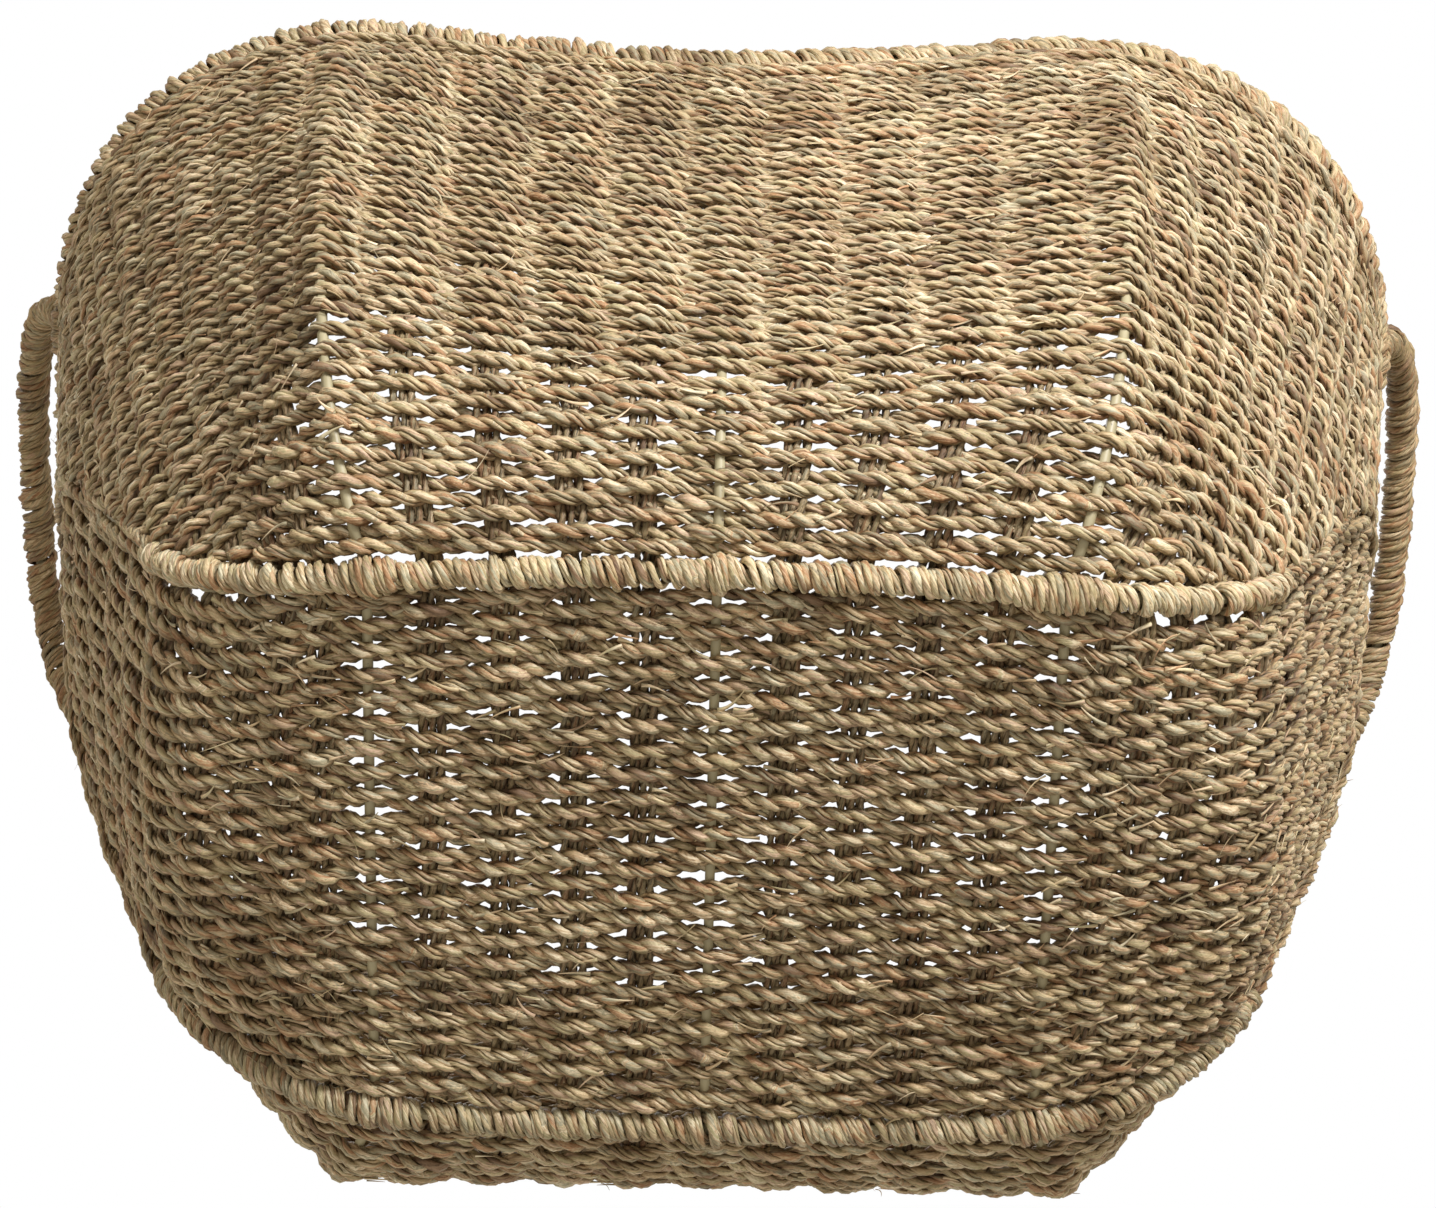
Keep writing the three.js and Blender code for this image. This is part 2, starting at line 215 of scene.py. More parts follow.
def make_camera():
    azimuth, elevation, roll = (
        math.radians(a) for a in (CAMERA_AZIMUTH, CAMERA_ELEVATION, CAMERA_ROLL)
    )
    ahead = Vector((
        -math.sin(azimuth) * math.cos(elevation),
        math.cos(azimuth) * math.cos(elevation),
        -math.sin(elevation),
    ))
    right = ahead.cross(Vector((0, 0, 1))).normalized()
    up = right.cross(ahead)
    turned_right = right * math.cos(roll) + up * math.sin(roll)
    turned_up = up * math.cos(roll) - right * math.sin(roll)
    data = bpy.data.cameras.new("camera")
    data.lens = CAMERA_LENS
    data.sensor_width = 36
    data.clip_start = 0.05
    data.clip_end = 50
    camera = bpy.data.objects.new("camera", data)
    turn = Matrix((turned_right, turned_up, -ahead)).transposed().to_4x4()
    camera.matrix_world = Matrix.Translation(CAMERA_TARGET - ahead * CAMERA_DISTANCE) @ turn
    bpy.context.scene.collection.objects.link(camera)
    bpy.context.scene.camera = camera


make_camera()


# ---------------------------------------------------------------- small tools
def unit(v):
    return v / np.maximum(np.linalg.norm(v, axis=-1, keepdims=True), 1e-9)


def smooth(x, low, high):
    t = np.clip((x - low) / (high - low), 0, 1)
    return t * t * (3 - 2 * t)


def travelled(path):
    """Distance along a path at each of its points."""
    return np.concatenate([[0], np.cumsum(np.linalg.norm(np.diff(path, axis=0), axis=1))])


def resample(step, path, *others):
    """The path, and what goes with its points, at even steps."""
    length = travelled(path)
    count = max(int(round(length[-1] / step)), 4)
    at = np.linspace(0, length[-1], count + 1)
    made = []
    for values in (path, *others):
        columns = values.reshape(len(values), -1).T
        made.append(np.stack([np.interp(at, length, c) for c in columns], 1))
    return made


def wander(x, spacing, size):
    """Smooth random values of about the given size, changing every spacing along x."""
    knots = (x - x.min()) / spacing
    values = rng.normal(0, size, int(knots.max()) + 3)
    low = knots.astype(int)
    t = knots - low
    t = t * t * (3 - 2 * t)
    return values[low] * (1 - t) + values[low + 1] * t


def patches(x, shortest, longest):
    """Random values between 0 and 1 that jump from one stretch of x to the next."""
    total = x[-1] - x[0]
    cuts = x[0] + np.cumsum(rng.uniform(shortest, longest, int(total / shortest) + 2))
    values = rng.random(len(cuts) + 1)
    return values[np.searchsorted(cuts, x)]


# ---------------------------------------------------------------- the basket's surfaces
def whole_hoop(quarter):
    points = []
    for i in range(STATIONS):
        side, step = divmod(i, QUARTER)
        x, y, z = quarter[step if side % 2 == 0 else QUARTER - step]
        points.append((x if side < 2 else -x, y if side in (0, 3) else -y, z + CORD_RADIUS))
    return np.array(points)


def spline(points, low, t):
    """Uniform Catmull-Rom through four neighbouring points."""
    p0, p1, p2, p3 = (points[low + i] for i in range(4))
    t = t[:, None]
    return 0.5 * (
        2 * p1 + (p2 - p0) * t + (2 * p0 - 5 * p1 + 4 * p2 - p3) * t**2
        + (3 * p1 - p0 - 3 * p2 + p3) * t**3
    )


def closed_spline(points):
    padded = np.concatenate([points[-1:], points, points[:3]])

    def at(station):
        wrapped = np.mod(station, len(points))
        low = np.minimum(wrapped.astype(int), len(points) - 1)
        return spline(padded, low, wrapped - low)
    return at


on_base = closed_spline(whole_hoop(BASE_HOOP))
on_rim = closed_spline(whole_hoop(RIM_HOOP))
keel_points = np.concatenate([2 * KEEL[:1] - KEEL[1:2], KEEL, 2 * KEEL[-1:] - KEEL[-2:-1]])


def on_keel(station):
    low = np.minimum(station.astype(int), QUARTER - 1)
    return spline(keel_points, low, station - low)


def from_middle(station):
    turn = np.mod(station, HALF)
    return np.minimum(turn, HALF - turn)


def wall_point(station, rise):
    """Rise runs from 0 at the base hoop to 1 at the rim."""
    low = on_base(station)
    high = on_rim(station)
    away = from_middle(station)
    early = EARLY_FLARE + (CORNER_FLARE - EARLY_FLARE) * smooth(away, 0, RIB_STATION)
    early = early * (1 - np.clip((away - RIB_STATION) / FLARE_FADE, 0, 1)) ** 2
    nearness = np.exp(-np.abs(away - RIB_STATION) / CREASE_WIDTH)
    crease = CREASE * nearness * rise * (1 - rise)
    flare = early * (1 - np.exp(-rise / FLARE_HEIGHT)) + (1 - early) * rise + crease
    share = np.stack([flare, flare, rise], 1)
    return low + (high - low) * share


def base_point(station, across):
    """Station runs from -7 at the left tip to 7 at the right one, across from -1 to 1."""
    size = np.abs(station)
    edge = on_base(size)
    middle = on_keel(size)
    curl = across * across
    x = np.sign(station) * (middle[:, 0] * (1 - curl) + edge[:, 0] * curl)
    z = middle[:, 1] * (1 - curl) + (edge[:, 2] - CORD_RADIUS) * curl + WALL / 2
    return np.stack([x, edge[:, 1] * across, z], 1)


def outward(surface, u, v):
    along = surface(u + SURFACE_STEP, v) - surface(u - SURFACE_STEP, v)
    up = surface(u, v + SURFACE_STEP) - surface(u, v - SURFACE_STEP)
    return unit(np.cross(up, along))


def wall_out(station, rise):
    return outward(wall_point, station, rise)


def base_out(station, across):
    return outward(base_point, station, across)


def inner_base(station, across):
    return base_point(station, across) - base_out(station, across) * BASE_LIFT


# ---------------------------------------------------------------- strands
class Strands:
    """Tubes gathered into one mesh, with what its material reads at each vertex."""

    def __init__(self):
        self.points, self.quads, self.tones, self.grains, self.crests = [], [], [], [], []
        self.count = 0

    def tube(self, centre, first, second, wide, thick, tone, heart, out, size):
        """A closed tube. first x second points along it. heart and out say where its rope's
        middle and outer side are, and size how thick that rope is."""
        n = len(centre)
        angle = np.linspace(0, 2 * np.pi, SIDES, endpoint=False)
        ring = (
            np.cos(angle)[None, :, None] * (wide[:, None] * first)[:, None, :]
            + np.sin(angle)[None, :, None] * (thick[:, None] * second)[:, None, :]
        )
        points = centre[:, None, :] + ring
        length = travelled(centre)
        spiral = angle[None, :] + (2 * np.pi / FIBRE_LEAD) * length[:, None]
        grain = np.stack([
            np.broadcast_to(length[:, None], spiral.shape) + rng.uniform(0, FIBRE_REACH),
            np.cos(spiral) * wide[:, None],
            np.sin(spiral) * wide[:, None],
        ], 2)
        # crest: how far out from its rope's middle a point lies, which the material turns into painted
        # shade
        crest = np.einsum("ijk,ik->ij", points - heart[:, None, :], out) / size
        i = np.arange(n - 1)[:, None] * SIDES
        j = np.arange(SIDES)[None, :]
        k = (j + 1) % SIDES
        walls = np.stack([i + j, i + k, i + SIDES + k, i + SIDES + j], 2).reshape(-1, 4)
        last = (n - 1) * SIDES
        caps = np.array([
            [0, 3, 2, 1], [0, 5, 4, 3],
            [last, last + 1, last + 2, last + 3], [last, last + 3, last + 4, last + 5],
        ])  # two quads close each end, for six sides
        self.quads.append(np.concatenate([walls, caps]) + self.count)
        self.points.append(points.reshape(-1, 3))
        self.tones.append(np.repeat(tone, SIDES))
        self.grains.append(grain.reshape(-1, 3))
        self.crests.append(crest.reshape(-1))
        self.count += n * SIDES

    def finished(self, name, material, slot, *nodes):
        points = np.concatenate(self.points) * MM
        quads = np.concatenate(self.quads)
        mesh = bpy.data.meshes.new(name)
        mesh.vertices.add(len(points))
        mesh.vertices.foreach_set("co", points.astype(np.float32).ravel())
        mesh.loops.add(quads.size)
        mesh.loops.foreach_set("vertex_index", quads.astype(np.int32).ravel())
        mesh.polygons.add(len(quads))
        mesh.polygons.foreach_set("loop_start", np.arange(0, quads.size, 4, dtype=np.int32))
        mesh.update(calc_edges=True)
        mesh.shade_smooth()
        for label, kind, field, values in (
            ("tone", "FLOAT", "value", self.tones),
            ("crest", "FLOAT", "value", self.crests),
            ("grain", "FLOAT_VECTOR", "vector", self.grains),
        ):
            data = mesh.attributes.new(label, kind, "POINT").data
            data.foreach_set(field, np.concatenate(values).astype(np.float32).ravel())
        mesh.materials.append(material)
        piece = bpy.data.objects.new(name, mesh)
        bpy.context.scene.collection.objects.link(piece)
        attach(piece, "root")
        if nodes:
            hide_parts(*nodes)


def side_axes(path, towards):
    """Unit tangent, the part of towards square to it, and the third axis."""
    tangent = unit(np.gradient(path, axis=0))
    first = unit(towards - np.sum(towards * tangent, 1, keepdims=True) * tangent)
    return tangent, first, np.cross(tangent, first)


def turned(angle, first, second):
    """The two axes, turned by an angle from the first towards the second."""
    cosine, sine = np.cos(angle)[:, None], np.sin(angle)[:, None]
    return cosine * first + sine * second, cosine * second - sine * first


def add_leaves(strands, middle, first, second, reach, tones, heart, out, size):
    """Two leaves that lie side by side along a path and turn round each other."""
    length = travelled(middle)
    spin = rng.uniform(0, 2 * np.pi) - 2 * np.pi * length / LEAF_LEAD
    spin = spin + wander(length, *SPIN_STRAY)
    for leaf in range(2):
        aside, other = turned(spin + np.pi * leaf, first, second)
        share = reach * (1 + wander(length, *LEAF_STRAY))
        strands.tube(
            middle + aside * (LEAF_OFFSET * share)[:, None], aside, other,
            LEAF_THICK * share, LEAF_WIDE * share, patches(length, *tones), heart, out, size,
        )


def add_rope(strands, path, out, radius, lead=ROPE_LEAD, step=ROPE_STEP, leaves=2):
    """A rope of two plies, each of one or two leaves. out points away from the basket."""
    path, out = resample(step, path, out)
    _, first, second = side_axes(path, out)
    length = travelled(path)
    turn = rng.uniform(0, 2 * np.pi) + 2 * np.pi * length / lead
    turn = turn + wander(length, *TWIST_STRAY)
    swell = radius * (1 + wander(length, *SWELL_STRAY))
    for ply in range(2):
        away, _ = turned(turn + np.pi * ply, first, second)
        middle = path + away * (PLY_OFFSET * swell)[:, None]
        along = unit(np.gradient(middle, axis=0))
        across = unit(np.cross(along, away))
        away = np.cross(across, along)
        if leaves == 2:
            add_leaves(strands, middle, away, across, swell, LEAF_PATCH, path, first, radius)
        else:
            strands.tube(
                middle, away, across, PLY_THICK * swell, PLY_WIDE * swell,
                patches(length, *LEAF_PATCH), path, first, radius,
            )


def add_binding(strands, path, towards, radius, width, starts, half=1.5, slack=0.6):
    """Strands of two leaves wound side by side round a path. radius may change along it."""
    path, towards = resample(0.5, path, towards)
    length = travelled(path)
    lead = width * starts
    for start in range(starts):
        at = np.linspace(0, length[-1], int(length[-1] / lead * PER_TURN) + 1)
        uneven = np.clip(at + wander(at, lead * 0.8, 0.3 * width), 0, length[-1])
        line = np.stack([np.interp(uneven, length, c) for c in path.T], 1)
        reach = np.stack([np.interp(uneven, length, c) for c in towards.T], 1)
        core = np.stack([np.interp(at, length, c) for c in path.T], 1)
        _, first, second = side_axes(core, reach)
        away, _ = turned(2 * np.pi * (at / lead + start / starts), first, second)
        sizes = np.atleast_1d(radius)
        size = np.interp(at / at[-1], np.linspace(0, 1, len(sizes)), sizes)
        distance = size - half + wander(at, lead * 0.5, slack)
        centre = line + away * distance[:, None]
        along = unit(np.gradient(centre, axis=0))
        across = unit(np.cross(along, away))
        swell = STRAND_SWELL * half * (1 + wander(at, lead * 0.5, 0.12))
        add_leaves(
            strands, centre, np.cross(across, along), across, swell,
            STRAND_PATCH, line, away, sizes.max(),
        )


# ---------------------------------------------------------------- materials
def linear(r, g, b):
    return tuple(
        c / 12.92 if c <= 0.04045 else ((c + 0.055) / 1.055) ** 2.4
        for c in (r / 255, g / 255, b / 255)
    ) + (1.0,)


class Nodes:
    """Short ways to add and link a material's nodes."""

    def __init__(self, name):
        self.material = bpy.data.materials.new(name)
        self.material.use_nodes = True
        self.tree = self.material.node_tree
        self.shader = self.tree.nodes["Principled BSDF"]

    def add(self, kind, **inputs):
        node = self.tree.nodes.new(kind)
        for key, value in inputs.items():
            self.put(value, node.inputs[key.replace("_", " ")])
        return node

    def put(self, value, socket):
        if isinstance(value, bpy.types.NodeSocket):
            self.tree.links.new(value, socket)
        else:
            socket.default_value = value

    def attribute(self, name, output):
        node = self.tree.nodes.new("ShaderNodeAttribute")
        node.attribute_name = name
        return node.outputs[output]

    def math(self, operation, a, b=0.0):
        node = self.tree.nodes.new("ShaderNodeMath")
        node.operation = operation
        self.put(a, node.inputs[0])
        self.put(b, node.inputs[1])
        return node.outputs[0]

    def scaled(self, vector, scale):
        node = self.tree.nodes.new("ShaderNodeMapping")
        self.put(vector, node.inputs["Vector"])
        node.inputs["Scale"].default_value = scale
        return node.outputs["Vector"]

    def noise(self, vector, scale, detail, roughness=0.5):
        node = self.add("ShaderNodeTexNoise", Scale=scale, Detail=detail, Roughness=roughness)
        self.put(vector, node.inputs["Vector"])
        return node.outputs["Fac"]

    def ramp(self, value, stops):
        node = self.tree.nodes.new("ShaderNodeValToRGB")
        ramp = node.color_ramp
        while len(ramp.elements) < len(stops):
            ramp.elements.new(0.5)
        for element, (place, colour) in zip(ramp.elements, stops):
            element.position = place
            element.color = colour
        self.put(value, node.inputs["Fac"])
        return node.outputs["Color"]

    def mix(self, kind, factor, a, b):
        node = self.tree.nodes.new("ShaderNodeMix")
        node.data_type = "RGBA"
        node.blend_type = kind
        self.put(factor, node.inputs["Factor"])
        self.put(a, node.inputs[6])
        self.put(b, node.inputs[7])
        return node.outputs[2]

    def range(self, value, low, high, to_low, to_high):
        node = self.tree.nodes.new("ShaderNodeMapRange")
        for socket, number in zip(("From Min", "From Max", "To Min", "To Max"),
                                  (low, high, to_low, to_high)):
            node.inputs[socket].default_value = number
        self.put(value, node.inputs["Value"])
        return node.outputs["Result"]


# Dried seagrass, from the palest leaves to the darkest
STRAW = linear(222, 200, 160)
CREAM = linear(236, 222, 190)
OLIVE = linear(184, 174, 132)
GREY_GREEN = linear(172, 168, 140)
TAN = linear(208, 180, 142)
PINK = linear(206, 176, 150)
RUST = linear(180, 134, 92)
BROWN = linear(146, 118, 88)
TONES = [
    STRAW, OLIVE, TAN, CREAM, GREY_GREEN, STRAW, OLIVE, PINK, STRAW, GREY_GREEN, TAN, CREAM,
    OLIVE, STRAW, RUST, TAN, GREY_GREEN, BROWN,
]


def seagrass(name, tint):
    """Leaves of many tones with fine fibres along them, and painted shade between the plies."""
    nodes = Nodes(name)
    tone = nodes.attribute("tone", "Fac")
    grain = nodes.attribute("grain", "Vector")
    crest = nodes.attribute("crest", "Fac")
    place = nodes.tree.nodes.new("ShaderNodeTexCoord").outputs["Object"]
    leaf = nodes.noise(nodes.scaled(grain, (0.02, 0.55, 0.55)), 1.0, 2.0)
    shifted = nodes.math("ADD", tone, nodes.range(leaf, 0.3, 0.7, -0.15, 0.15))
    stops = [(i / (len(TONES) - 1), colour) for i, colour in enumerate(TONES)]
    colour = nodes.ramp(shifted, stops)
    fibres = nodes.noise(nodes.scaled(grain, (0.08, 2.2, 2.2)), 1.0, 3.0, 0.6)
    streaks = nodes.ramp(fibres, [
        (0.30, linear(104, 88, 68)), (0.46, linear(216, 208, 196)), (0.66, (1, 1, 1, 1)),
    ])
    colour = nodes.mix("MULTIPLY", 0.85, colour, streaks)
    stains = nodes.noise(place, 34.0, 3.0)
    colour = nodes.mix("MULTIPLY", 0.8, colour, nodes.ramp(stains, [
        (0.30, linear(196, 184, 166)), (0.55, (1, 1, 1, 1)),
    ]))
    # Painted shade: darker where a point lies level with its rope's middle, at the sides where plies and
    # rows meet
    painted_shade_depth = nodes.range(nodes.math("ABSOLUTE", crest), 0.0, 0.9, 0.0, 1.0)
    colour = nodes.mix("MULTIPLY", 1.0, colour, nodes.ramp(painted_shade_depth, [
        (0.0, linear(140, 124, 100)), (0.22, linear(200, 189, 172)), (1.0, (1, 1, 1, 1)),
    ]))
    colour = nodes.mix("MULTIPLY", 1.0, colour, tint)
    nodes.put(colour, nodes.shader.inputs["Base Color"])
    nodes.put(nodes.range(fibres, 0.3, 0.7, 0.78, 0.52), nodes.shader.inputs["Roughness"])
    bump = nodes.add("ShaderNodeBump", Strength=0.6, Distance=0.0006, Height=fibres)
    nodes.put(bump.outputs["Normal"], nodes.shader.inputs["Normal"])
    return nodes.material


def painted_steel():
    """Matt olive paint, rubbed thin in places."""
    nodes = Nodes("painted_steel")
    place = nodes.tree.nodes.new("ShaderNodeTexCoord").outputs["Object"]
    cloud = nodes.noise(place, 60.0, 4.0)
    chips = nodes.noise(place, 420.0, 5.0, 0.65)
    paint = nodes.ramp(cloud, [(0.3, linear(150, 138, 104)), (0.7, linear(178, 166, 130))])
    worn = nodes.ramp(chips, [(0.66, (0, 0, 0, 1)), (0.70, (1, 1, 1, 1))])
    colour = nodes.mix("MIX", worn, paint, linear(104, 92, 76))
    nodes.put(colour, nodes.shader.inputs["Base Color"])
    nodes.put(nodes.range(cloud, 0.3, 0.7, 0.4, 0.6), nodes.shader.inputs["Roughness"])
    bump = nodes.add("ShaderNodeBump", Strength=0.3, Distance=0.0002, Height=chips)
    nodes.put(bump.outputs["Normal"], nodes.shader.inputs["Normal"])
    return nodes.material


weave_material = seagrass("seagrass_weave", (1.12, 1.12, 1.12, 1.0))
base_material = seagrass("seagrass_base", (1.0, 0.98, 0.95, 1.0))
stake_material = seagrass("seagrass_stake", (0.62, 0.58, 0.52, 1.0))
binding_material = seagrass("seagrass_binding", (1.0, 0.98, 0.94, 1.0))
# Lit and shaded copies of one seagrass: the front ring's is lighter, as painted light, and the back
# ring's darker, as painted shade
ring_lit_and_shaded_copies = {
    "front": seagrass("seagrass_ring_painted_light", (1.08, 1.08, 1.06, 1.0)),
    "back": seagrass("seagrass_ring_painted_shade", (0.84, 0.84, 0.81, 1.0)),
}
grip_material = seagrass("seagrass_grip", (0.78, 0.71, 0.61, 1.0))
steel_material = painted_steel()


# ---------------------------------------------------------------- the wall
WALL_NODES = [
    f"{part}_{place}_{side}"
    for part in ("wall", "corner") for place in ("back", "front") for side in ("right", "left")
]
END_NODES = ["end_right", "end_left"]


class WallMap:
    """Finds the wall by distance down from the rim, all round the basket."""

    STEP = 2.0
    DEEPEST = 460.0

    def __init__(self):
        self.station = np.arange(QUARTER, QUARTER + STATIONS + ROW_OVERLAP, DENSE_STEP)
        rises = np.linspace(1.0, 0.0, 121)
        self.drops = np.arange(0, self.DEEPEST, self.STEP)
        self.rise = np.empty((len(self.station), len(self.drops)))
        self.slant = np.empty(len(self.station))
        for i, station in enumerate(self.station):
            down = travelled(wall_point(np.full(len(rises), station), rises))
            self.rise[i] = np.interp(self.drops, down, rises, right=-1.0)
            self.slant[i] = down[-1]
        size = from_middle(self.station)
        flat = size < FLAT_STATION
        edge = self.slant[np.argmin(np.abs(size - FLAT_STATION))]
        self.reach = np.where(flat, self.slant, edge)

    def row(self, share, unevenness):
        """Rise at every station of the row that lies at this share of the way up."""
        drop = (1 - share) * self.reach + unevenness
        at = np.clip(drop / self.STEP, 0, len(self.drops) - 2)
        low = at.astype(int)
        index = np.arange(len(self.station))
        before, after = self.rise[index, low], self.rise[index, low + 1]
        rise = before + (after - before) * (at - low)
        return np.where((before < 0) | (after < 0), -1.0, rise)


def changed(share, limits):
    """0 below the first limit and 1 above the second, smooth between."""
    return float(smooth(share, *limits))


def row_shares(slant):
    """Where the wall's rows lie between the base ring, 0, and the rim, 1."""
    at = FIRST_ROW
    shares = []
    while at < slant - RIM_MARGIN:
        shares.append(at / slant)
        closing = changed(at / slant, PITCH_CHANGE)
        at += (LOW_PITCH + (HIGH_PITCH - LOW_PITCH) * closing) * rng.uniform(*PITCH_SPREAD)
    return shares


def weave_wave(station, parity):
    """1 where a rope passes outside a stake, -1 where it passes inside."""
    return np.cos(np.pi * (station / STAKE_PITCH + parity))


def runs(mask):
    """First and last index of each unbroken run of True."""
    edges = np.flatnonzero(np.diff(np.concatenate([[0], mask.astype(int), [0]])))
    return list(zip(edges[::2], edges[1::2] - 1))


def bound_share(away):
    """1 where the base ring is bound, 0 where its hoop is bare."""
    return smooth(away, BOUND_STATION + 0.4, BOUND_STATION - 0.1)


def add_wall_row(strands, wall_map, share, parity, radius, lead):
    station = wall_map.station
    rise = wall_map.row(share, wander(station, *WALL_ROW_STRAY))
    gap = HOOP_GAP + bound_share(from_middle(station)) * WALL_RING_GAP
    clear = np.linalg.norm(wall_point(station, np.maximum(rise, 0)) - on_base(station), axis=1)
    for begin, end in runs((rise > 0) & (clear > gap)):
        if end - begin < SHORTEST_RUN:
            continue
        s = station[begin:end + 1]
        out = wall_out(s, rise[begin:end + 1])
        below_rim = ((1 - share) * wall_map.reach)[begin:end + 1]
        swing = OVER * (0.5 + 0.5 * smooth(below_rim, *CALM))
        swing = swing * (1 + wander(s, *WALL_SWING_STRAY)) * weave_wave(s, parity)
        path = wall_point(s, rise[begin:end + 1]) + out * swing[:, None]
        add_rope(strands, path, out, radius, lead)


def make_wall():
    wall_map = WallMap()
    shares = row_shares(wall_map.slant[np.argmin(from_middle(wall_map.station))])
    for band, rows in enumerate(np.array_split(np.arange(len(shares)), WALL_BANDS)):
        strands = Strands()
        for i in rows:
            thin = changed(shares[i], ROPE_CHANGE)
            radius = ROPE_RADIUS + (FINE_RADIUS - ROPE_RADIUS) * thin
            lead = ROPE_LEAD + (FINE_LEAD - ROPE_LEAD) * thin
            add_wall_row(strands, wall_map, shares[i], i % 2, radius, lead)
        nodes = WALL_NODES + (END_NODES if band >= WALL_BANDS // 2 else [])
        strands.finished(f"wall_rows_{band + 1}", weave_material, "seagrass_weave", *nodes)


# ---------------------------------------------------------------- the base
def add_base_row(strands, offset, parity):
    station = np.arange(-QUARTER + DENSE_STEP, QUARTER - DENSE_STEP / 2, DENSE_STEP)
    size = np.abs(station)
    edge = on_base(size)[:, 1]
    flat_edge = on_base(np.minimum(size, FLAT_STATION))[:, 1]
    y = offset * flat_edge / on_base(np.zeros(1))[0, 1] + wander(station, *BASE_ROW_STRAY)
    keel = on_keel(size)
    slope = np.gradient(edge) / np.maximum(np.linalg.norm(np.gradient(keel, axis=0), axis=1), 1e-6)
    margin = (HOOP_GAP + bound_share(size) * BASE_RING_GAP) * np.sqrt(1 + slope**2)
    for begin, end in runs(np.abs(y) < edge - margin):
        if end - begin < SHORTEST_RUN:
            continue
        s = station[begin:end + 1]
        across = (y / edge)[begin:end + 1]
        out = base_out(s, across)
        swing = OVER * (1 + wander(s, *BASE_SWING_STRAY)) * weave_wave(s, parity)
        path = inner_base(s, across) + out * swing[:, None]
        add_rope(strands, path, out, ROPE_RADIUS)


def make_base():
    count = int((BASE_HOOP[0, 1] - BASE_MARGIN) / BASE_PITCH)
    for band, rows in enumerate(np.array_split(np.arange(-count, count + 1), BASE_BANDS)):
        strands = Strands()
        for row in rows:
            add_base_row(strands, row * BASE_PITCH, row % 2)
        strands.finished(
            f"base_rows_{band + 1}", base_material, "seagrass_base",
            "base_mat_right", "base_mat_left", "base_end_right", "base_end_left",
        )


# ---------------------------------------------------------------- stakes and ribs
def crossing_path(station):
    """From the back rim down the wall, inside the base ring, across the base and up again."""
    rises = np.linspace(1, 0, 90)
    halves = []
    for hoop_station in (station, HALF - station):
        s = np.full(len(rises), hoop_station)
        wall = wall_point(s, rises)
        halves.append((wall, wall_out(s, rises)))
    across = np.linspace(1, -1, 81)
    s = np.full(len(across), station or 1e-4)  # the base's formula has no slope at 0 itself
    base = inner_base(s, across)
    base_away = base_out(s, across)
    clear = np.linalg.norm(base - base[0], axis=1)
    other = np.linalg.norm(base - base[-1], axis=1)
    bound = abs(station) < BOUND_STATION + TUCK
    ring = (CORD_RADIUS if bound else WIRE_RADIUS) + STAKE_RADIUS + CORNER_CLEARANCE
    keep = (clear > ring + BASE_CORNER) & (other > ring + BASE_CORNER)
    paths, aways = [], []
    for i, (wall, away) in enumerate(halves):
        centre = wall[-1]
        above_ring = np.linalg.norm(wall - centre, axis=1) > ring + WALL_CORNER
        below_rim = np.linalg.norm(wall - wall[0], axis=1) > CORD_RADIUS
        kept = above_ring & below_rim
        corner_away = unit(away[-1] + base_away[0 if i == 0 else -1])
        corner = centre - corner_away * ring
        part = np.concatenate([wall[kept], corner[None]])
        part_away = np.concatenate([away[kept], corner_away[None]])
        if i == 1:
            part, part_away = part[::-1], part_away[::-1]
        paths.append(part)
        aways.append(part_away)
    path = np.concatenate([paths[0], base[keep], paths[1]])
    out = unit(np.concatenate([aways[0], base_away[keep], aways[1]]))
    return resample(CROSSING_STEP, path, out)


def blurred(values, times):
    for _ in range(times):
        values = np.concatenate([
            values[:1], (values[:-2] + 2 * values[1:-1] + values[2:]) / 4, values[-1:],
        ])
    return values


def make_stakes():
    rib = round(RIB_STATION / STAKE_PITCH)  # the ribs stand where stakes would
    groups = {
        "left": range(-STAKES, -rib), "middle": range(1 - rib, rib), "right": range(rib + 1, STAKES + 1),
    }
    for place, numbers in groups.items():
        strands = Strands()
        for number in numbers:
            if number == 0:
                continue
            path, out = crossing_path(number * STAKE_PITCH)
            path, out = blurred(path, 6), unit(blurred(out, 6))
            _, _, side = side_axes(path, out)
            length = travelled(path)
            for way in (-1, 0, 1):
                apart = way * (STAKE_SPREAD * STAKE_RADIUS + wander(length, *STAKE_SIDE_STRAY))
                lift = wander(length, *STAKE_OUT_STRAY)
                line = path + side * apart[:, None] + out * lift[:, None]
                add_rope(strands, line, out, STAKE_RADIUS, STAKE_LEAD, STAKE_STEP, leaves=1)
        strands.finished(f"stakes_{place}", stake_material, "seagrass_weave")


def make_ribs():
    for name, side in (("rib_middle", 0), ("rib_right", 1), ("rib_left", -1)):
        path, out = crossing_path(float(side * RIB_STATION))
        path, out = blurred(path, 8), unit(blurred(out, 8))
        path, out = resample(2.5, path, out)
        strands = Strands()
        _, first, second = side_axes(path, out)
        size = np.full(len(path), WIRE_RADIUS)
        tone = np.zeros(len(path))
        strands.tube(path, first, second, size, size, tone, path, out, WIRE_RADIUS)
        strands.finished(f"{name}_wire", steel_material, "painted_steel", name)


# ---------------------------------------------------------------- rim, ring and handles
def hoop_path(pointer, begin, end):
    station = np.arange(begin, end + 0.5 * DENSE_STEP, DENSE_STEP)
    path = pointer(station)
    return path, np.tile([0.0, 0.0, 1.0], (len(path), 1))


